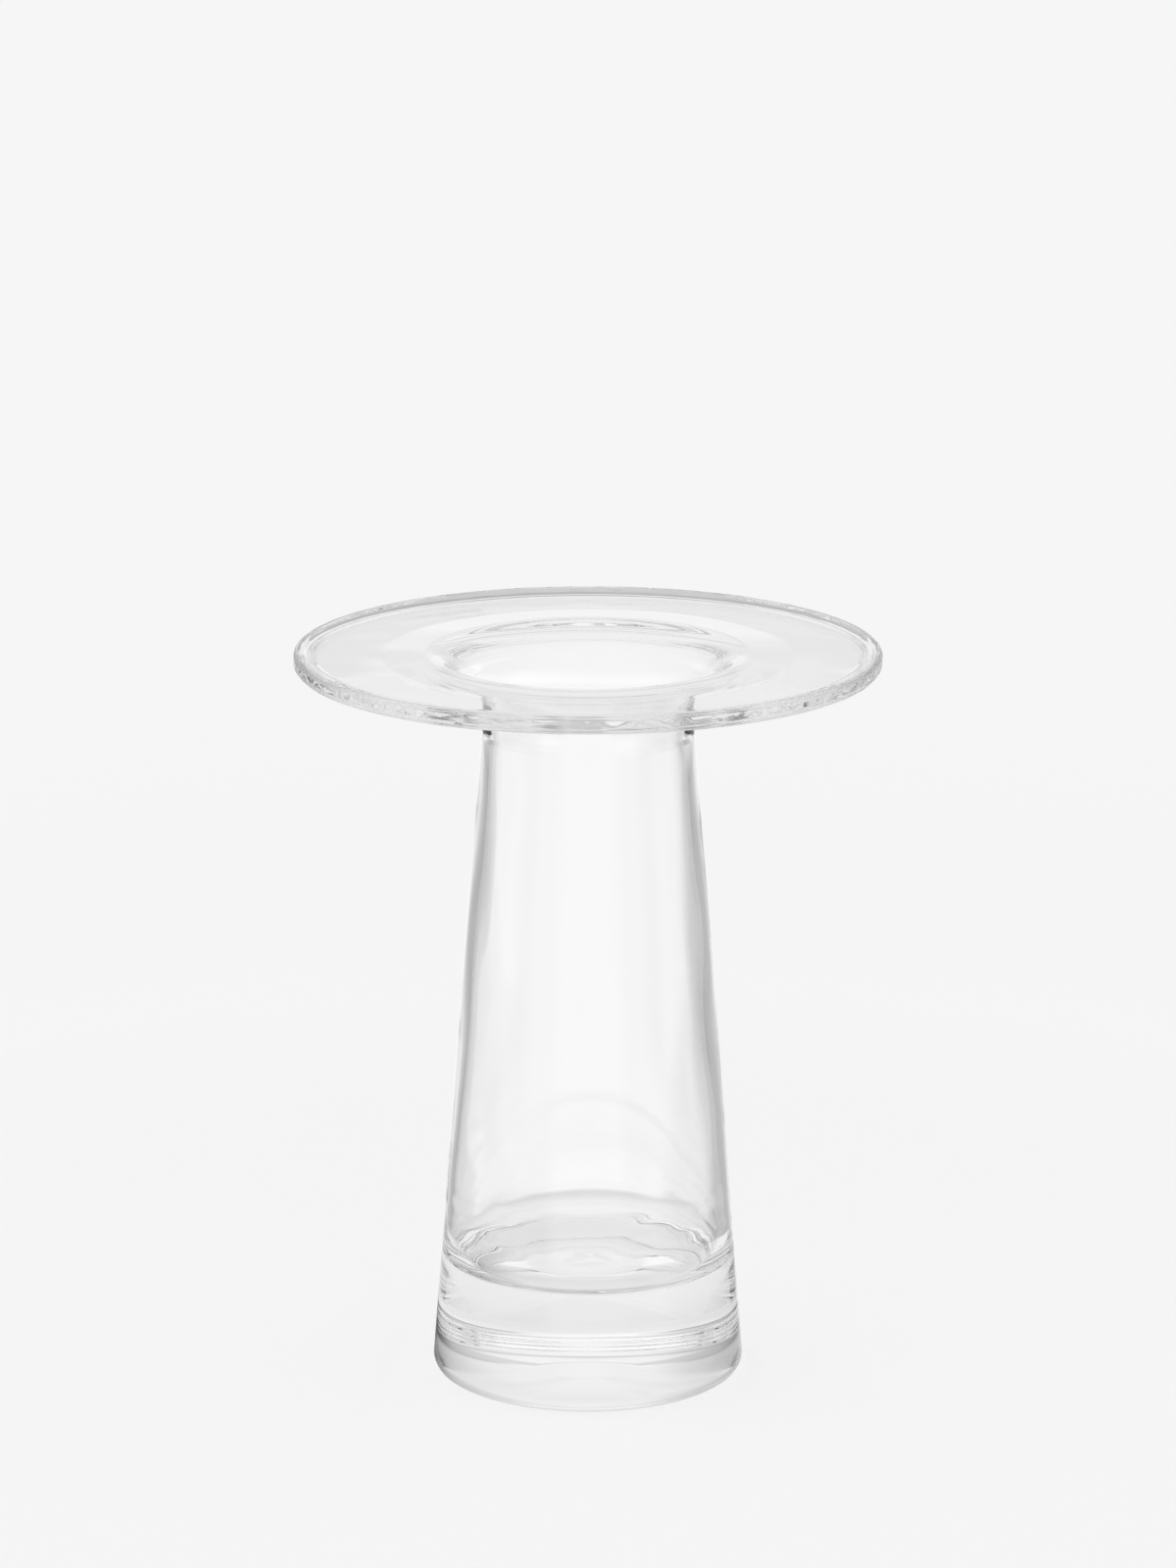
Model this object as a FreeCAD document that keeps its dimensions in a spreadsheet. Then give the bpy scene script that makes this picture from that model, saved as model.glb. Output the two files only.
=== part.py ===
import FreeCAD, Part
import Sketcher
import math
import os
import re

# Trumpet vase in clear glass: a heavy solid base, a tapered hollow column,
# a flared throat, a nearly flat dish and a rounded, fire-polished lip.
# Millimetres, +Z up, origin on the ground at the centre of the base.
# Every zone is turned about the vase's axis and meets the next face to face,
# where the glass is joined hot.

SIZES = {
    # Whole vase
    "overall_height": 250.0,
    "rim_radius": 97.5,
    # Solid base: heel, foot ring, the shallow hollow inside the ring, and the floor of the well
    "base_radius": 52.8,
    "heel_round": 7.0,
    "foot_ring_width": 12.0,
    "foot_ring_round": 4.0,
    "hollow_depth": 2.8,
    "hollow_flat_radius": 12.5,
    "hollow_round": 30.0,
    "well_floor_height": 36.6,
    "well_floor_radius": 33.0,
    "well_floor_round": 10.5,
    "well_side_inset": 0.3,
    "well_side_height": 40.0,
    "well_side_round": 11.5,
    # Hollow column between its two hot seams
    "base_seam_height": 52.0,
    "base_seam_radius": 48.7,
    "low_wall": 4.2,
    "neck_seam_radius": 36.6,
    "top_wall": 3.5,
    # Trumpet throat: drops are taken from the top of the vase, and the flare and the
    # shoulder lie at shares of the rim's radius
    "throat_depth": 45.0,
    "neck_radius": 34.8,
    "neck_drop": 19.0,
    "neck_round": 17.5,
    "neck_wall": 3.7,
    "bore_lift": 0.5,
    "bore_round": 25.0,
    "flare_share": 0.492,
    "flare_drop": 6.8,
    "flare_round": 16.0,
    "shoulder_share": 0.498,
    "shoulder_drop": 1.35,
    "shoulder_round": 13.5,
    # Dish between the throat and the lip
    "throat_seam_share": 0.70,
    "throat_seam_drop": 1.7,
    "throat_seam_thickness": 5.1,
    "lip_seam_width": 9.5,
    "lip_seam_drop": 1.6,
    "lip_seam_thickness": 5.0,
    # Rounded lip, with a shallow valley just inside it
    "lip_height": 6.2,
    "lip_round": 2.7,
    "lip_crown_width": 3.9,
    "lip_crown_round": 1.6,
    "valley_width": 6.3,
    "valley_drop": 1.65,
    "valley_round": 4.0,
}

# Radii and heights that more than one zone uses, as sums of the named sizes
AXIS = None
GROUND = None
BASE_SEAM_BORE = "base_seam_radius - low_wall"
NECK_SEAM_HEIGHT = "overall_height - throat_depth"
NECK_SEAM_BORE = "neck_seam_radius - top_wall"
THROAT_SEAM_RADIUS = "rim_radius*throat_seam_share"
THROAT_SEAM_TOP = "overall_height - throat_seam_drop"
THROAT_SEAM_UNDERSIDE = THROAT_SEAM_TOP + " - throat_seam_thickness"
LIP_SEAM_RADIUS = "rim_radius - lip_seam_width"
LIP_SEAM_TOP = "overall_height - lip_seam_drop"
LIP_SEAM_UNDERSIDE = LIP_SEAM_TOP + " - lip_seam_thickness"

# The indices by which a sketch knows the two ends of a line, its axes and its origin
START, END = range(1, 3)
HORIZONTAL_AXIS, VERTICAL_AXIS = range(-1, -3, -1)
ORIGIN = (HORIZONTAL_AXIS, START)
FULL_TURN = 360

doc = FreeCAD.newDocument("TrumpetVase")
sheet = doc.addObject("Spreadsheet::Sheet", "Dimensions")
for row, (alias, size) in enumerate(SIZES.items(), start=1):
    sheet.set(f"A{row}", alias)
    sheet.set(f"B{row}", str(size))
    sheet.setAlias(f"B{row}", alias)
doc.recompute()


def measure(text):
    """Value of a sum of named sizes and products, or zero for the axis and the ground."""
    total = 0.0
    sign = 1
    for word in (text or "").split():
        if word in "+-":
            sign = 1 if word == "+" else -1
        else:
            total += sign * math.prod(sheet.get(name) for name in word.split("*"))
    return total


def formula(text):
    """The same sum as an expression that reads the spreadsheet."""
    return re.sub(r"(\w+)", r"Dimensions.\1", text)


def constrain(sketch, kind, *where, size=None):
    """Add a constraint, and bind it to the spreadsheet where it has a size."""
    if size is None:
        sketch.addConstraint(Sketcher.Constraint(kind, *where))
        return
    number = sketch.addConstraint(Sketcher.Constraint(kind, *where, measure(size)))
    sketch.setExpression(f"Constraints[{number}]", formula(size))


def locate(sketch, geometry, radius, height):
    """Hold the start of a line, or a point, at its radius and height."""
    if radius is AXIS:
        constrain(sketch, "PointOnObject", geometry, START, VERTICAL_AXIS)
    else:
        constrain(sketch, "DistanceX", *ORIGIN, geometry, START, size=radius)
    if height is GROUND:
        constrain(sketch, "PointOnObject", geometry, START, HORIZONTAL_AXIS)
    else:
        constrain(sketch, "DistanceY", *ORIGIN, geometry, START, size=height)


def corner_arc(before, corner, after, rounding):
    """Where an arc of the given radius leaves and meets the lines of a corner, and its centre."""
    back = (before - corner).normalize()
    ahead = (after - corner).normalize()
    half_angle = back.getAngle(ahead) / 2
    reach = rounding / math.tan(half_angle)
    bisector = (back + ahead).normalize()
    centre = corner + bisector * (rounding / math.sin(half_angle))
    return corner + back * reach, corner + ahead * reach, centre


def add_round(sketch, line_in, line_out, leave, meet, centre, rounding):
    """Draw a corner's arc between its two lines, tangent to both."""
    turn = (leave - centre).cross(meet - centre).z
    first, last = (leave, meet) if turn > 0 else (meet, leave)
    leave_end, meet_end = (START, END) if turn > 0 else (END, START)
    circle = Part.Circle(centre, FreeCAD.Vector(0, 0, 1), measure(rounding))
    angles = [math.atan2(p.y - centre.y, p.x - centre.x) for p in (first, last)]
    arc = sketch.addGeometry(Part.ArcOfCircle(circle, *angles))
    constrain(sketch, "Tangent", line_in, END, arc, leave_end)
    constrain(sketch, "Tangent", arc, meet_end, line_out, START)
    constrain(sketch, "Radius", arc, size=rounding)


def draw_outline(sketch, corners):
    """Closed outline from corners of radius, height and rounding, with every size bound."""
    count = len(corners)
    points = [FreeCAD.Vector(measure(r), measure(z), 0) for r, z, rounding in corners]
    starts = list(points)
    ends = points[1:] + points[:1]
    arcs = {}
    for i, (radius, height, rounding) in enumerate(corners):
        if rounding:
            arcs[i] = corner_arc(points[i - 1], points[i], ends[i], measure(rounding))
    for i, (leave, meet, centre) in arcs.items():
        ends[i - 1] = leave
        starts[i] = meet
    lines = [sketch.addGeometry(Part.LineSegment(starts[i], ends[i])) for i in range(count)]
    for i, (radius, height, rounding) in enumerate(corners):
        line_in, line_out = lines[i - 1], lines[i]
        if rounding:
            add_round(sketch, line_in, line_out, *arcs[i], rounding)
            corner = sketch.addGeometry(Part.Point(points[i]), True)
            constrain(sketch, "PointOnObject", corner, START, line_in)
            constrain(sketch, "PointOnObject", corner, START, line_out)
            locate(sketch, corner, radius, height)
        else:
            constrain(sketch, "Coincident", line_in, END, line_out, START)
            locate(sketch, line_out, radius, height)


def turned_zone(name, corners):
    """A zone of the vase, turned about the axis from the outline of its section."""
    body = doc.addObject("PartDesign::Body", name)
    body.Label = name
    plane = next(f for f in body.Origin.OriginFeatures if f.Role == "XZ_Plane")
    sketch = body.newObject("Sketcher::SketchObject", f"{name}_section")
    sketch.AttachmentSupport = (plane, [""])
    sketch.MapMode = "FlatFace"
    draw_outline(sketch, corners)
    turning = body.newObject("PartDesign::Revolution", f"{name}_turning")
    turning.Profile = sketch
    turning.ReferenceAxis = (sketch, ["V_Axis"])
    turning.Angle = FULL_TURN
    sketch.Visibility = False
    return body


def heavy_base():
    """Solid base on its foot ring, with the rounded floor of the well on top."""
    foot_inner = "base_radius - foot_ring_width"
    return turned_zone("heavy_base", [
        (AXIS, "hollow_depth", None),
        ("hollow_flat_radius", "hollow_depth", "hollow_round"),
        (foot_inner, GROUND, "foot_ring_round"),
        ("base_radius", GROUND, "heel_round"),
        ("base_seam_radius", "base_seam_height", None),
        (BASE_SEAM_BORE, "base_seam_height", None),
        (BASE_SEAM_BORE + " - well_side_inset", "well_side_height", "well_side_round"),
        ("well_floor_radius", "well_floor_height", "well_floor_round"),
        (AXIS, "well_floor_height", None),
    ])


def column_wall():
    """Tapered hollow column, a little thinner at the neck than above the base."""
    return turned_zone("column_wall", [
        ("base_seam_radius", "base_seam_height", None),
        ("neck_seam_radius", NECK_SEAM_HEIGHT, None),
        (NECK_SEAM_BORE, NECK_SEAM_HEIGHT, None),
        (BASE_SEAM_BORE, "base_seam_height", None),
    ])


def trumpet_throat():
    """Flare from the narrow neck to the dish, with the bore opening over a round shoulder."""
    neck_height = "overall_height - neck_drop"
    return turned_zone("trumpet_throat", [
        ("neck_seam_radius", NECK_SEAM_HEIGHT, None),
        ("neck_radius", neck_height, "neck_round"),
        ("rim_radius*flare_share", "overall_height - flare_drop", "flare_round"),
        (THROAT_SEAM_RADIUS, THROAT_SEAM_UNDERSIDE, None),
        (THROAT_SEAM_RADIUS, THROAT_SEAM_TOP, None),
        ("rim_radius*shoulder_share", "overall_height - shoulder_drop", "shoulder_round"),
        ("neck_radius - neck_wall", neck_height + " + bore_lift", "bore_round"),
        (NECK_SEAM_BORE, NECK_SEAM_HEIGHT, None),
    ])


def flared_dish():
    """Nearly flat dish that thins from the throat to the lip."""
    return turned_zone("flared_dish", [
        (THROAT_SEAM_RADIUS, THROAT_SEAM_UNDERSIDE, None),
        (LIP_SEAM_RADIUS, LIP_SEAM_UNDERSIDE, None),
        (LIP_SEAM_RADIUS, LIP_SEAM_TOP, None),
        (THROAT_SEAM_RADIUS, THROAT_SEAM_TOP, None),
    ])


def rim_lip():
    """Rounded lip, thicker than the dish that carries it, and the valley just inside it."""
    return turned_zone("rim_lip", [
        (LIP_SEAM_RADIUS, LIP_SEAM_UNDERSIDE, None),
        ("rim_radius", "overall_height - lip_height", "lip_round"),
        ("rim_radius", "overall_height", "lip_round"),
        ("rim_radius - lip_crown_width", "overall_height", "lip_crown_round"),
        ("rim_radius - valley_width", "overall_height - valley_drop", "valley_round"),
        (LIP_SEAM_RADIUS, LIP_SEAM_TOP, None),
    ])


zones = [heavy_base(), column_wall(), trumpet_throat(), flared_dish(), rim_lip()]
doc.recompute()

for feature in doc.Objects:
    if {"Invalid", "Error"} & set(feature.State):
        raise RuntimeError(f"{feature.Label} could not be worked out")
for zone in zones:
    if zone.Shape.isNull() or not zone.Shape.isValid():
        raise RuntimeError(f"{zone.Label} has no valid solid")

os.makedirs("parts", exist_ok=True)
for zone in zones:
    zone.Shape.exportStep(f"parts/{zone.Label}.step")
    box = zone.Shape.optimalBoundingBox()
    print(f"{zone.Label}: radius {box.XMax:.2f}, from {box.ZMin:.2f} to {box.ZMax:.2f} mm,"
          f" {zone.Shape.Volume / 1000:.1f} cubic cm")
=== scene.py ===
# Trumpet vase in clear glass on a plain pale table, in soft studio light.
# Sizes are written in millimetres and angles in degrees; meshes are made in metres, +Z up.
import bpy
import math
import numpy as np
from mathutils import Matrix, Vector, noise


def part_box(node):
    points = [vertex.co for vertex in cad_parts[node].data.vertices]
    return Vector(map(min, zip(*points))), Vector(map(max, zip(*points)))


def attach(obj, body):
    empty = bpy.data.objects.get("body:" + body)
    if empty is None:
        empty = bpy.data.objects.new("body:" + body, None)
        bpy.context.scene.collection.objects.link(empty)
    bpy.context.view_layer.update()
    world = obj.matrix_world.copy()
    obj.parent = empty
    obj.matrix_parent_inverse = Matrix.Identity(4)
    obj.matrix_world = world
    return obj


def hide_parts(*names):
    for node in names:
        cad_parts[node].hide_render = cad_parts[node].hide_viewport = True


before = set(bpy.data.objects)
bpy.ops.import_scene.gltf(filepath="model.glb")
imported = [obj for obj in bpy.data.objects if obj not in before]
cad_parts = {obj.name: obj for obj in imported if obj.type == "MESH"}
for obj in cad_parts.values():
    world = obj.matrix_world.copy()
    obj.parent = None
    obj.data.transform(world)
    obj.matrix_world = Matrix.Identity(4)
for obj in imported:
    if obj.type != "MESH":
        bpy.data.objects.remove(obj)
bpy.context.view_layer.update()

MM = 0.001
ZONES = ("heavy_base", "column_wall", "trumpet_throat", "flared_dish", "rim_lip")


def reach(node):
    """Outer radius, lowest and highest point of a CAD zone."""
    low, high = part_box(node)
    return high[0] / MM, low[2] / MM, high[2] / MM


# Sizes that the CAD zones give
SEAM_RADIUS, BASE_SEAM, NECK_SEAM = reach("column_wall")
THROAT_RADIUS, _, _ = reach("trumpet_throat")
RIM_RADIUS, _, OVERALL_HEIGHT = reach("rim_lip")

# Base: heel, foot ring and the hollow under it
BASE_RADIUS = 52.8
HEEL_ROUND = 6.7
FOOT_RING_WIDTH = 11.5
FOOT_RING_ROUND = 4.0
HOLLOW_DEPTH = 2.9
HOLLOW_FLAT_RADIUS = 10.5
HOLLOW_ROUND = 30.0

# Floor of the well, from the wall to the axis: radius, and height above the floor's level
WELL_FLOOR = 36.6
WELL = (
    (44.95, 14.0), (45.0, 11.0), (44.9, 8.6), (44.55, 6.4), (43.7, 4.3), (42.2, 2.8), (39.0, 1.5),
    (35.0, 0.7), (31.0, 0.3), (24.0, -0.1), (16.0, 0.15), (8.0, 0.7), (0, 1.1),
)

# Column: a faint swell outward, and a wall that thins towards the neck
COLUMN_SWELL = 0.35
COLUMN_SPANS = 5
COLUMN_ROUND = 300.0
LOW_WALL = 3.9
TOP_WALL = 3.45
NECK_SEAM_RADIUS = 36.6

# Throat, with heights down from the top of the vase
NECK_RADIUS = 34.8
NECK_DROP = 19.0
NECK_ROUND = 18.0
NECK_WALL = 3.7
BORE_LIFT = 0.2
BORE_ROUND = 25.5
FLARE_RADIUS = 47.7
FLARE_ROUND = 16.7
SHOULDER_RADIUS = 48.6
SHOULDER_DROP = 1.36
SHOULDER_ROUND = 13.6

# Dish and lip, with widths in from the rim and heights down from the top
SEAM_TOP_DROP = 2.0
SEAM_UNDERSIDE_DROP = 6.87
SEAM_ROUND = 60.0
VALLEY_WIDTH = 6.3
VALLEY_DROP = 1.67
VALLEY_ROUND = 5.7
LIP_SEAM_UNDERSIDE_DROP = 6.68
LIP_SEAM_ROUND = 20.0
LIP_WIDTH = 5.5
LIP_HEIGHT = 6.16
LIP_ROUND = 2.62
LIP_TOP_ROUND = 3.0
LIP_CROWN_WIDTH = 3.55
LIP_CROWN_ROUND = 1.6

# Marks of working the glass by hand: depth, and length of a wave round the axis and upward
DISH_DEPTH, DISH_GRAIN = 0.05, 22.0
CORD_DEPTH, CORD_GRAIN, CORD_RISE = 0.08, 5.5, 0.8
CHILL_DEPTH, CHILL_GRAIN, CHILL_RISE = 0.22, 14.0, 4.0
BORE_DEPTH, BORE_GRAIN, BORE_RISE = 0.3, 16.0, 45.0
RIPPLE_DEPTH, RIPPLE_LENGTH = 0.10, 8.1

# Where those marks are; the bore's begin so far above the well's floor
DISH_UNDERSIDE = 240.0
CHILL_HEIGHT, CHILL_SPREAD = 50.0, 24.0
BORE_BEGINS = 4.0
RIPPLE_RADIUS = 36.0

# Mesh: steps round the axis, steps along the section in millimetres and turn of a step in degrees
ROUND_THE_AXIS = 224
AXIS_GAP = 0.05
LONGEST_STEP, WRINKLE_STEP, SHORTEST_STEP = 5.0, 1.3, 0.35
FINEST_TURN, COARSEST_TURN = 1.5, 6.0
FEWEST_STEPS = 2

# Corners of the section: half the angle of a straight one, and how far a rounding may go along a side
STRAIGHT_ON = math.radians(89.9)
LARGEST_SHARE = 0.49
ROUNDEST = 1000.0

# What the eye sees: one tone for room and table, and how much of the table is matt and takes a shadow
PLAIN_TONE = 0.9216
MATT_SHARE = 0.25

# One of the panels that glass sees: brightness against degrees to the left of its middle
PANEL = (
    (-42, 0.46), (-30, 0.49), (-24, 0.54), (-20, 0.60), (-16, 0.83), (-13.5, 0.91), (-11, 0.97),
    (-8, 0.95), (-4, 0.98), (0, 0.975), (6, 1.0), (12, 1.05), (12.4, 0.90), (16, 0.87), (20, 0.70),
    (24, 0.53), (30, 0.47), (42, 0.43),
)

# What stands right and left of the middle panel, against degrees to the left of straight ahead
RIGHT_SIDE = (
    (-180, 0.40), (-165, 0.50), (-147, 0.90), (-135, 0.92), (-123, 0.90), (-112, 0.50), (-100, 0.20),
    (-58, 0.28),
)
LEFT_SIDE = ((60, 0.42), (80, 0.25), (150, 0.25), (180, 0.40))
MIDDLE_BAND = RIGHT_SIDE + PANEL + LEFT_SIDE

# Light from below against the same degrees, and from above against elevation
BELOW = ((-180, 0.25), (-60, 0.25), (-30, 0.60), (30, 0.60), (60, 0.25), (180, 0.25))
ABOVE = ((-8, 0.90), (10, 0.90), (11.5, 0.70), (15, 0.70), (20, 0.88), (35, 0.88), (90, 0.86))

# Shares of the light above that each side gives, lower down and high up
SIDE_SHARES = (
    (-180, 0.30), (-115, 0.30), (-105, 0.12), (-65, 0.12), (-48, 0.70), (-30, 0.92), (-15, 1.03),
    (15, 1.0), (27, 0.86), (45, 0.66), (62, 0.30), (180, 0.30),
)
HIGH_SIDE_SHARES = (
    (-180, 1.14), (-150, 1.18), (-110, 1.25), (-40, 1.0), (40, 1.0), (110, 1.25), (150, 1.18), (180, 1.14),
)

# Lower room behind the camera: degrees from straight ahead over which it begins, and its tone
BEHIND, BEHIND_TONE = (142.0, 158.0), 0.90

# Elevations over which each band of the room takes over from the one under it
STEEP_BEGINS, MIDDLE_BEGINS, LEVEL_BEGINS = (-46.0, -36.0), (-22.0, -20.0), (-11.0, -9.0)
ABOVE_BEGINS, HIGH_SIDE_BEGINS = (0.0, 7.0), (17.0, 25.0)
HALF_QUARTER = 45.0

# Table, just under the vase
TABLE_HALF_WIDTH = 20000.0
TABLE_GAP = 0.2

# Patch of it that glass sees: brightness by distance from the axis, a painted shadow of the vase, and
# shares of it rightward and back, a painted shade on the left and in front
TABLE_SHADOW_RINGS = ((0, 0.78), (50, 0.78), (60, 0.80), (72, 0.85), (100, 0.90), (120, 0.91), (220, 0.92))
TABLE_LEFT_SHARES = ((-60, 0.10), (-50, 0.40), (-42, 0.68), (-28, 1.0))
TABLE_FRONT_SHARES = ((-75, 0.15), (-50, 0.50), (-25, 1.0))

# Where the table's painted shade on the left and in front ends, and where glass stops seeing it, all round
# and on the right
TABLE_PAINTED_SHADE_END = (85.0, 110.0)
TABLE_ENDS = (120.0, 220.0)
TABLE_RIGHT_ENDS = (55.0, 75.0)

# Card behind the vase that only its glass sees, and its brightness against degrees to the left
CARD_DISTANCE = 450.0
CARD_FOOT, CARD_HEM, CARD_FADE, CARD_TOP = 126.0, 150.0, 190.0, 320.0
CARD_STEP = 2
CARD_TOP_TONE = 0.86
CARD = (
    (-70, 0.55), (-50, 0.68), (-35, 0.78), (-20, 0.87), (0, 0.92), (12, 0.88), (24, 0.74), (40, 0.61),
    (70, 0.55),
)

# Glass, and how often light may pass or bounce
GLASS_TINT = 0.99
GLASS_INDEX = 1.5
BOUNCES = 64

# Camera
CAMERA_DISTANCE = 2058.5
CAMERA_HEIGHT = 720.0
CAMERA_TILT = 14.083
LENS = 146.41
SENSOR = 36


def across(direction):
    """Square to a direction, on the outer side of the glass as the section runs."""
    return Vector((direction.y, -direction.x)).normalized()


def rounded_corner(before, corner, after, rounding):
    """Points of a corner, rounded as far as its sides allow, each with its normal."""
    back = (before - corner).normalized()
    ahead = (after - corner).normalized()
    half_angle = back.angle(ahead) / 2
    if half_angle > STRAIGHT_ON:
        return [(corner, across(after - before))]
    shorter = min((before - corner).length, (after - corner).length)
    rounding = min(rounding, LARGEST_SHARE * shorter * math.tan(half_angle))
    centre = corner + (back + ahead).normalized() * rounding / math.sin(half_angle)
    start = corner + back * rounding / math.tan(half_angle)
    side = math.copysign(1, -back.x * ahead.y + back.y * ahead.x)
    turn = side * (math.pi - 2 * half_angle)
    degrees = abs(math.degrees(turn))
    fine = min(degrees / FINEST_TURN, abs(turn) * rounding / SHORTEST_STEP)
    steps = max(FEWEST_STEPS, math.ceil(fine), math.ceil(degrees / COARSEST_TURN))
    spoke = start - centre
    points = []
    for i in range(steps + 1):
        cos, sin = math.cos(turn * i / steps), math.sin(turn * i / steps)
        out = Vector((spoke.x * cos - spoke.y * sin, spoke.x * sin + spoke.y * cos))
        points.append((centre + out, out.normalized() * side))
    return points


def outline(corners):
    """Section of the glass as points with normals, from corners of radius, height and rounding."""
    places = [Vector((radius, height)) for radius, height, _ in corners]
    bends = [[(places[0], across(places[1] - places[0]))]]
    for before, corner, after, (_, _, rounding) in zip(places, places[1:], places[2:], corners[1:]):
        bends.append(rounded_corner(before, corner, after, rounding))
    bends.append([(places[-1], across(places[-1] - places[-2]))])
    points = []
    for bend, following in zip(bends, bends[1:]):
        points += bend
        start, normal = bend[-1]
        gap = following[0][0] - start
        wrinkled = abs(start.y - CHILL_HEIGHT) < CHILL_SPREAD
        steps = math.ceil(gap.length / (WRINKLE_STEP if wrinkled else LONGEST_STEP))
        points += [(start + gap * i / steps, normal) for i in range(1, steps)]
    return points + bends[-1]


def outer_radius(height):
    """Radius of the column's outside."""
    share = (height - BASE_SEAM) / (NECK_SEAM - BASE_SEAM)
    straight = SEAM_RADIUS + (NECK_SEAM_RADIUS - SEAM_RADIUS) * share
    return straight + COLUMN_SWELL * math.sin(math.pi * share)


def wall(height):
    """Thickness of the column's wall."""
    return LOW_WALL + (TOP_WALL - LOW_WALL) * (height - BASE_SEAM) / (NECK_SEAM - BASE_SEAM)


def glass_section():
    """The whole section, from the hollow underneath, up the outside, over the lip and down the bore."""
    top = OVERALL_HEIGHT
    neck = top - NECK_DROP
    stations = [BASE_SEAM + (NECK_SEAM - BASE_SEAM) * i / COLUMN_SPANS for i in range(COLUMN_SPANS + 1)]
    corners = [
        (0, HOLLOW_DEPTH, 0),
        (HOLLOW_FLAT_RADIUS, HOLLOW_DEPTH, HOLLOW_ROUND),
        (BASE_RADIUS - FOOT_RING_WIDTH, 0, FOOT_RING_ROUND),
        (BASE_RADIUS, 0, HEEL_ROUND),
    ]
    corners += [(outer_radius(z), z, COLUMN_ROUND) for z in stations]
    corners += [
        (NECK_RADIUS, neck, NECK_ROUND),
        (FLARE_RADIUS, top - SEAM_UNDERSIDE_DROP, FLARE_ROUND),
        (THROAT_RADIUS, top - SEAM_UNDERSIDE_DROP, SEAM_ROUND),
        (RIM_RADIUS - LIP_WIDTH, top - LIP_SEAM_UNDERSIDE_DROP, LIP_SEAM_ROUND),
        (RIM_RADIUS, top - LIP_HEIGHT, LIP_ROUND),
        (RIM_RADIUS, top, LIP_TOP_ROUND),
        (RIM_RADIUS - LIP_CROWN_WIDTH, top, LIP_CROWN_ROUND),
        (RIM_RADIUS - VALLEY_WIDTH, top - VALLEY_DROP, VALLEY_ROUND),
        (THROAT_RADIUS, top - SEAM_TOP_DROP, SEAM_ROUND),
        (SHOULDER_RADIUS, top - SHOULDER_DROP, SHOULDER_ROUND),
        (NECK_RADIUS - NECK_WALL, neck + BORE_LIFT, BORE_ROUND),
    ]
    corners += [(outer_radius(z) - wall(z), z, COLUMN_ROUND) for z in reversed(stations[1:])]
    corners += [(radius, WELL_FLOOR + rise, ROUNDEST) for radius, rise in WELL]
    return outline(corners)


def wave(angle, radius, height, grain, rise):
    """Irregular wave that closes evenly round the axis."""
    x, y = math.cos(angle) * radius / grain, math.sin(angle) * radius / grain
    return noise.noise(Vector((x, y, height / rise)))


def stray(point, inside, angle):
    """How far the hand-worked glass lies off the turned form, in millimetres."""
    radius, height = point
    if height > DISH_UNDERSIDE:
        edge = max(0.0, 1 - (RIM_RADIUS - radius) / LIP_WIDTH)
        cord = CORD_DEPTH * wave(angle, radius, height, CORD_GRAIN, CORD_RISE)
        return DISH_DEPTH * wave(angle, radius, height, DISH_GRAIN, DISH_GRAIN) + cord * edge
    if not inside:
        chill = CHILL_DEPTH * wave(angle, radius, height, CHILL_GRAIN, CHILL_RISE)
        return chill * max(0.0, 1 - abs(height - CHILL_HEIGHT) / CHILL_SPREAD)
    if height > WELL_FLOOR + BORE_BEGINS:
        return BORE_DEPTH * wave(angle, radius, height, BORE_GRAIN, BORE_RISE)
    fading = max(0.0, 1 - radius / RIPPLE_RADIUS)
    return RIPPLE_DEPTH * math.sin(2 * math.pi * radius / RIPPLE_LENGTH) * fading


def turned_mesh(name, section):
    """Closed mesh of the section turned about the axis, with the marks of working by hand."""
    radii, heights = np.array([point for point, normal in section]).T
    outward, upward = np.array([normal for point, normal in section]).T
    radii[[0, -1]] = AXIS_GAP
    crest = int(np.argmax(radii + heights))
    angles = np.arange(ROUND_THE_AXIS) * 2 * math.pi / ROUND_THE_AXIS
    # How far each point strays, and how that changes along the section and round the axis
    off = np.array([[stray(point, i > crest, angle) for angle in angles]
                    for i, (point, normal) in enumerate(section)])
    run = np.concatenate([[0], np.cumsum(np.hypot(np.diff(radii), np.diff(heights)))])
    radii, heights, outward, upward = (row[:, None] for row in (radii, heights, outward, upward))
    along = np.gradient(off, run, axis=0)
    around = (np.roll(off, -1, axis=1) - np.roll(off, 1, axis=1)) / (2 * angles[1] * radii)
    # Points and normals, with each end of the section drawn together on the axis
    cos, sin = np.cos(angles), np.sin(angles)
    reach_out = radii + outward * off
    vertices = np.stack([reach_out * cos, reach_out * sin, heights + upward * off], axis=-1) * MM
    lean = outward + upward * along
    normals = np.stack([lean * cos + around * sin, lean * sin - around * cos, upward - outward * along],
                       axis=-1)
    first, last = vertices[0].mean(axis=0), vertices[-1].mean(axis=0)
    vertices = np.vstack([[first], vertices[1:-1].reshape(-1, 3), [last]])
    normals = np.vstack([[(0, 0, -1)], normals[1:-1].reshape(-1, 3), [(0, 0, 1)]])
    # Faces between one ring and the next, as triangles where a ring is a single point
    rings = [[0] * ROUND_THE_AXIS]
    rings += [range(start, start + ROUND_THE_AXIS) for start in range(1, len(vertices) - 1, ROUND_THE_AXIS)]
    rings += [[len(vertices) - 1] * ROUND_THE_AXIS]
    faces = []
    for low, high in zip(rings, rings[1:]):
        for step in range(ROUND_THE_AXIS):
            following = (step + 1) % ROUND_THE_AXIS
            corners = (low[step], low[following], high[following], high[step])
            faces.append(tuple(dict.fromkeys(corners)))
    mesh = bpy.data.meshes.new(name)
    mesh.from_pydata(vertices.tolist(), [], faces)
    mesh.polygons.foreach_set("use_smooth", [True] * len(faces))
    mesh.update()
    mesh.normals_split_custom_set_from_vertices(normals.tolist())
    return mesh


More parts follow.
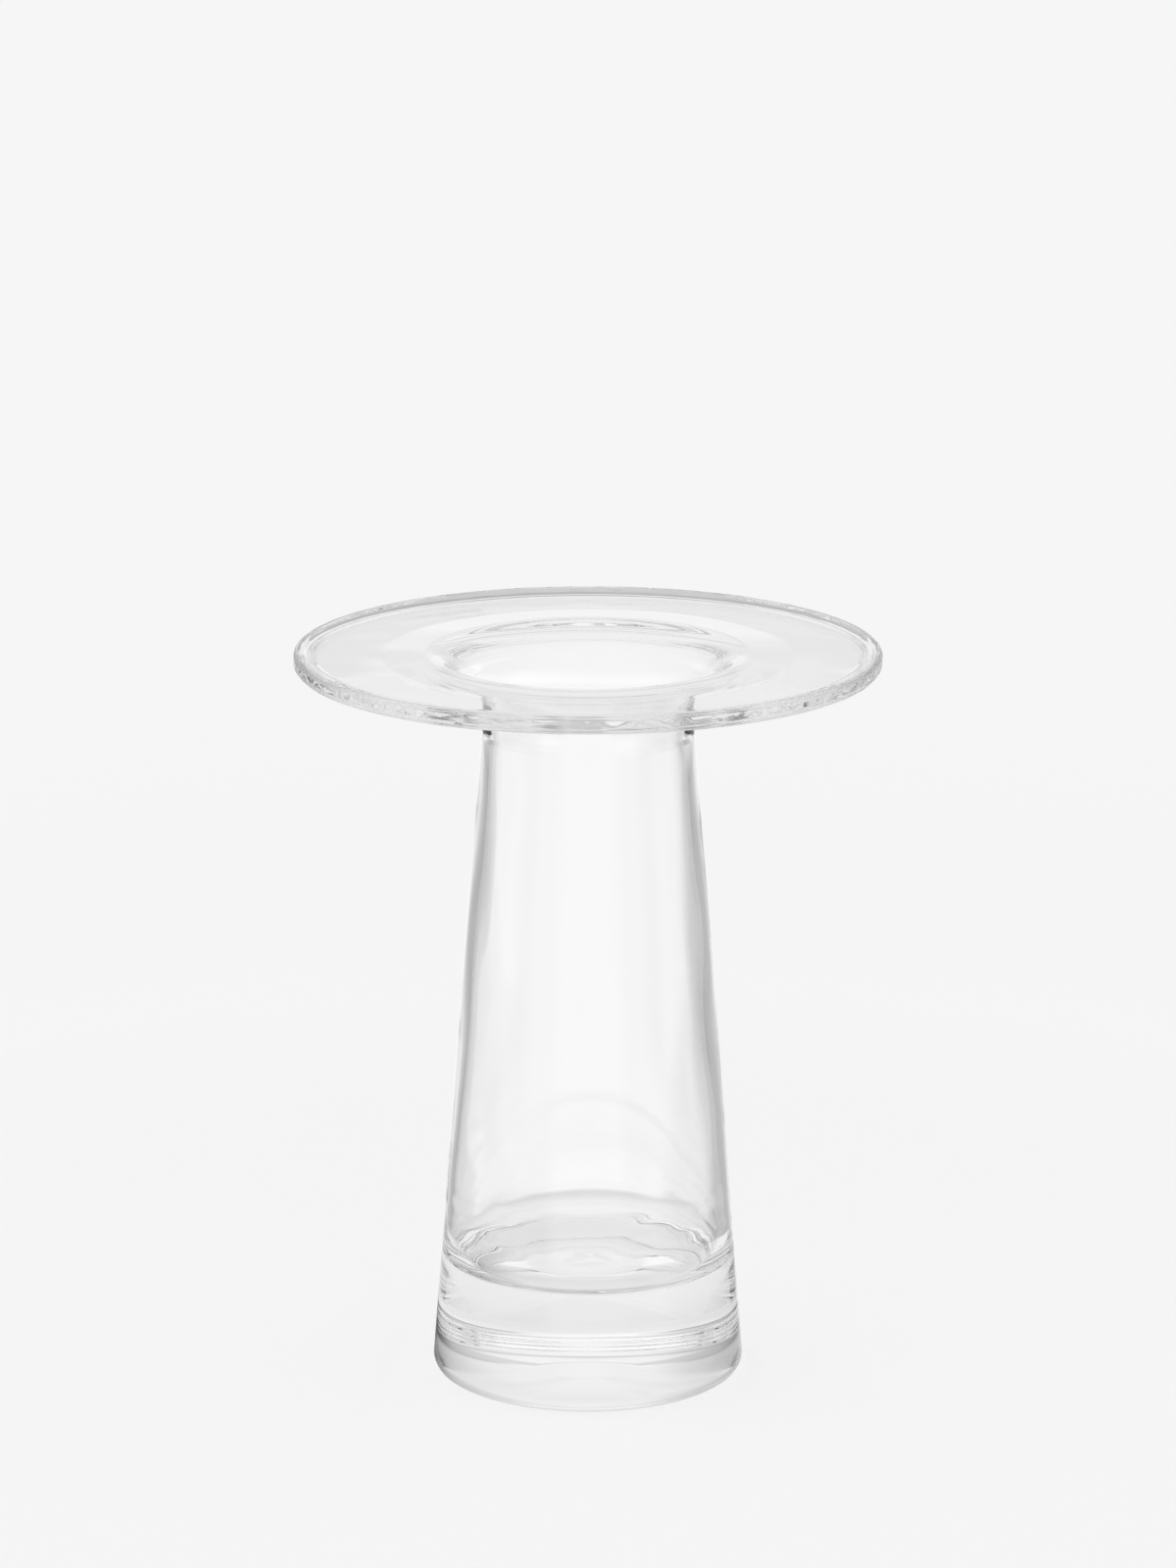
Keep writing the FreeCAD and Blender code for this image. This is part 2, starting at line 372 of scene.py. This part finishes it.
def new_object(name, data):
    """Object for a mesh or a camera, in the scene."""
    made = bpy.data.objects.new(name, data)
    bpy.context.scene.collection.objects.link(made)
    return made


def node_tree(owner):
    """Empty node tree of a material or a world."""
    owner.use_nodes = True
    owner.node_tree.nodes.clear()
    return owner.node_tree


def feed(tree, socket, value):
    """Give a socket a number, a colour or a link."""
    if isinstance(value, bpy.types.NodeSocket):
        tree.links.new(value, socket)
    else:
        socket.default_value = value


def math_node(tree, operation, *values, clamp=False):
    """Number worked out from one, two or three others."""
    node = tree.nodes.new("ShaderNodeMath")
    node.operation = operation
    node.use_clamp = clamp
    for socket, value in zip(node.inputs, values):
        feed(tree, socket, value)
    return node.outputs[0]


def blend_between(tree, value, first, second):
    """0 as far as the first number and 1 from the second on, smooth between."""
    node = tree.nodes.new("ShaderNodeMapRange")
    node.interpolation_type = "SMOOTHSTEP"
    for socket, number in zip(node.inputs, (value, first, second, 0.0, 1.0)):
        feed(tree, socket, number)
    return node.outputs[0]


def mix(tree, share, first, second):
    """Number between two numbers."""
    node = tree.nodes.new("ShaderNodeMix")
    for socket, number in zip((node.inputs[0], node.inputs[2], node.inputs[3]), (share, first, second)):
        feed(tree, socket, number)
    return node.outputs[0]


def ramp(tree, value, stops):
    """Brightness read from stops of degrees or millimetres and brightness."""
    low, high = stops[0][0], stops[-1][0]
    place = tree.nodes.new("ShaderNodeMapRange")
    for socket, number in zip(place.inputs, (value, low, high, 0.0, 1.0)):
        feed(tree, socket, number)
    node = tree.nodes.new("ShaderNodeValToRGB")
    tree.links.new(place.outputs[0], node.inputs[0])
    elements = node.color_ramp.elements
    elements.remove(elements[-1])
    for number, (stop, brightness) in enumerate(stops):
        share = (stop - low) / (high - low)
        element = elements.new(share) if number else elements[0]
        element.position = share
        element.color = (brightness, brightness, brightness, 1)
    return node.outputs[0]


def split_up(tree, vector):
    """The three parts of a vector."""
    node = tree.nodes.new("ShaderNodeSeparateXYZ")
    tree.links.new(vector, node.inputs[0])
    return node.outputs


def azimuth_of(tree, x, y):
    """Degrees to the left of straight ahead, as the camera looks."""
    sideways = math_node(tree, "MULTIPLY", x, -1.0)
    return math_node(tree, "DEGREES", math_node(tree, "ARCTAN2", sideways, y))


def seen_plainly(tree):
    """1 for what the camera or a diffuse surface sees, 0 for what glass passes on or mirrors."""
    ray = tree.nodes.new("ShaderNodeLightPath")
    return math_node(tree, "ADD", ray.outputs["Is Camera Ray"], ray.outputs["Is Diffuse Ray"], clamp=True)


def shader(tree, kind, inputs):
    """Shader with the inputs given."""
    node = tree.nodes.new(kind)
    for name, value in inputs.items():
        feed(tree, node.inputs[name], value)
    return node.outputs[0]


def mix_shaders(tree, share, first, second):
    """Shader between two shaders."""
    node = tree.nodes.new("ShaderNodeMixShader")
    for socket, value in zip(node.inputs, (share, first, second)):
        feed(tree, socket, value)
    return node.outputs[0]


def put_out(tree, surface, kind="ShaderNodeOutputMaterial"):
    """Make a shader the look of its material or world."""
    tree.links.new(surface, tree.nodes.new(kind).inputs[0])


def light_the_room():
    """World: plain and pale to the eye, and a ring of soft panels to the glass."""
    world = bpy.data.worlds.new("studio")
    bpy.context.scene.world = world
    tree = node_tree(world)
    x, y, z = split_up(tree, tree.nodes.new("ShaderNodeTexCoord").outputs["Generated"])
    azimuth = azimuth_of(tree, x, y)
    elevation = math_node(tree, "DEGREES", math_node(tree, "ARCSINE", z))
    # Panels that stand every quarter turn, for level looks, and between those, for steep ones
    level = ramp(tree, math_node(tree, "WRAP", azimuth, HALF_QUARTER, -HALF_QUARTER), PANEL)
    turned = math_node(tree, "SUBTRACT", azimuth, HALF_QUARTER)
    steep = ramp(tree, math_node(tree, "WRAP", turned, HALF_QUARTER, -HALF_QUARTER), PANEL)
    middle = ramp(tree, azimuth, MIDDLE_BAND)
    studio = ramp(tree, azimuth, BELOW)
    for begins, band in ((STEEP_BEGINS, steep), (MIDDLE_BEGINS, middle), (LEVEL_BEGINS, level)):
        studio = mix(tree, blend_between(tree, elevation, *begins), studio, band)
    behind = blend_between(tree, math_node(tree, "ABSOLUTE", azimuth), *BEHIND)
    studio = mix(tree, behind, studio, BEHIND_TONE)
    # Light above, stronger or weaker to the sides
    high = blend_between(tree, elevation, *HIGH_SIDE_BEGINS)
    sides = mix(tree, high, ramp(tree, azimuth, SIDE_SHARES), ramp(tree, azimuth, HIGH_SIDE_SHARES))
    above = math_node(tree, "MULTIPLY", ramp(tree, elevation, ABOVE), sides)
    studio = mix(tree, blend_between(tree, elevation, *ABOVE_BEGINS), studio, above)
    seen = mix(tree, seen_plainly(tree), studio, PLAIN_TONE)
    put_out(tree, shader(tree, "ShaderNodeBackground", {"Color": seen}), "ShaderNodeOutputWorld")


def lay_the_table():
    """Pale table that keeps a faint shadow, and that glass sees only close to the vase."""
    mesh = bpy.data.meshes.new("table")
    half, level = TABLE_HALF_WIDTH * MM, -TABLE_GAP * MM
    corners = ((-half, -half, level), (half, -half, level), (half, half, level), (-half, half, level))
    mesh.from_pydata(corners, [], [(0, 1, 2, 3)])
    table = new_object("table", mesh)
    material = bpy.data.materials.new("pale_table")
    mesh.materials.append(material)
    tree = node_tree(material)
    position = tree.nodes.new("ShaderNodeNewGeometry").outputs["Position"]
    distance = tree.nodes.new("ShaderNodeVectorMath")
    distance.operation = "LENGTH"
    tree.links.new(position, distance.inputs[0])
    away = math_node(tree, "DIVIDE", distance.outputs["Value"], MM)
    x, y, _ = split_up(tree, position)
    rightward = math_node(tree, "DIVIDE", x, MM)
    back = math_node(tree, "DIVIDE", y, MM)
    # Tone of the patch that glass sees, with painted shade on the left and in front
    left, front = ramp(tree, rightward, TABLE_LEFT_SHARES), ramp(tree, back, TABLE_FRONT_SHARES)
    painted_shade_left_front = math_node(tree, "MULTIPLY", left, front)
    shade = mix(tree, blend_between(tree, away, *TABLE_PAINTED_SHADE_END), painted_shade_left_front, 1.0)
    # Painted shadow of the vase on the patch, darkest close to its foot
    shade = math_node(tree, "MULTIPLY", shade, ramp(tree, away, TABLE_SHADOW_RINGS))
    close = blend_between(tree, away, *reversed(TABLE_ENDS))
    not_right = blend_between(tree, rightward, *reversed(TABLE_RIGHT_ENDS))
    plain = shader(tree, "ShaderNodeEmission", {"Color": (PLAIN_TONE, PLAIN_TONE, PLAIN_TONE, 1)})
    matt = shader(tree, "ShaderNodeBsdfDiffuse", {"Color": (1, 1, 1, 1)})
    clear = shader(tree, "ShaderNodeBsdfTransparent", {})
    near = shader(tree, "ShaderNodeEmission", {"Color": shade})
    for_eye = mix_shaders(tree, MATT_SHARE, plain, matt)
    for_glass = mix_shaders(tree, math_node(tree, "MULTIPLY", close, not_right), clear, near)
    put_out(tree, mix_shaders(tree, seen_plainly(tree), for_glass, for_eye))


def hang_the_card():
    """Curved card behind the vase: it lights the base from behind, and only glass sees it."""
    mesh = bpy.data.meshes.new("card")
    low, high = CARD[0][0], CARD[-1][0]
    edge = []
    for degrees in range(low, high + 1, CARD_STEP):
        turn = math.radians(degrees)
        edge.append((-math.sin(turn) * CARD_DISTANCE * MM, math.cos(turn) * CARD_DISTANCE * MM))
    count = len(edge)
    vertices = [(x, y, height * MM) for height in (CARD_FOOT, CARD_TOP) for x, y in edge]
    mesh.from_pydata(vertices, [], [(i, i + 1, count + i + 1, count + i) for i in range(count - 1)])
    card = new_object("card", mesh)
    material = bpy.data.materials.new("card")
    material.cycles.emission_sampling = "NONE"
    mesh.materials.append(material)
    tree = node_tree(material)
    x, y, z = split_up(tree, tree.nodes.new("ShaderNodeNewGeometry").outputs["Position"])
    azimuth = azimuth_of(tree, x, y)
    height = math_node(tree, "DIVIDE", z, MM)
    # The room's middle band goes on in the card's foot, and the top is one tone
    hem = blend_between(tree, height, CARD_FOOT, CARD_HEM)
    tone = mix(tree, hem, ramp(tree, azimuth, MIDDLE_BAND), ramp(tree, azimuth, CARD))
    tone = mix(tree, blend_between(tree, height, CARD_FADE, CARD_TOP), tone, CARD_TOP_TONE)
    glow = shader(tree, "ShaderNodeEmission", {"Color": tone})
    clear = shader(tree, "ShaderNodeBsdfTransparent", {})
    put_out(tree, mix_shaders(tree, seen_plainly(tree), glow, clear))


def clear_glass():
    """Colourless glass."""
    material = bpy.data.materials.new("clear_glass")
    tree = node_tree(material)
    put_out(tree, shader(tree, "ShaderNodeBsdfPrincipled", {
        "Base Color": (GLASS_TINT, GLASS_TINT, GLASS_TINT, 1),
        "Roughness": 0.0,
        "IOR": GLASS_INDEX,
        "Transmission Weight": 1.0,
    }))
    return material


def place_camera():
    """Camera at the photograph's viewing angle."""
    data = bpy.data.cameras.new("camera")
    data.lens = LENS
    data.sensor_width = SENSOR
    camera = new_object("camera", data)
    camera.location = (0, -CAMERA_DISTANCE * MM, CAMERA_HEIGHT * MM)
    camera.rotation_euler = (math.radians(90 - CAMERA_TILT), 0, 0)
    bpy.context.scene.camera = camera


scene = bpy.context.scene
scene.view_settings.view_transform = "Standard"
scene.cycles.max_bounces = BOUNCES
scene.cycles.transmission_bounces = BOUNCES
scene.cycles.glossy_bounces = BOUNCES
scene.cycles.transparent_max_bounces = BOUNCES
scene.cycles.blur_glossy = 0

place_camera()
light_the_room()
lay_the_table()
hang_the_card()

vase = new_object("clear_glass_vase", turned_mesh("clear_glass_vase", glass_section()))
vase.data.materials.append(clear_glass())
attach(vase, "root")
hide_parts(*ZONES)
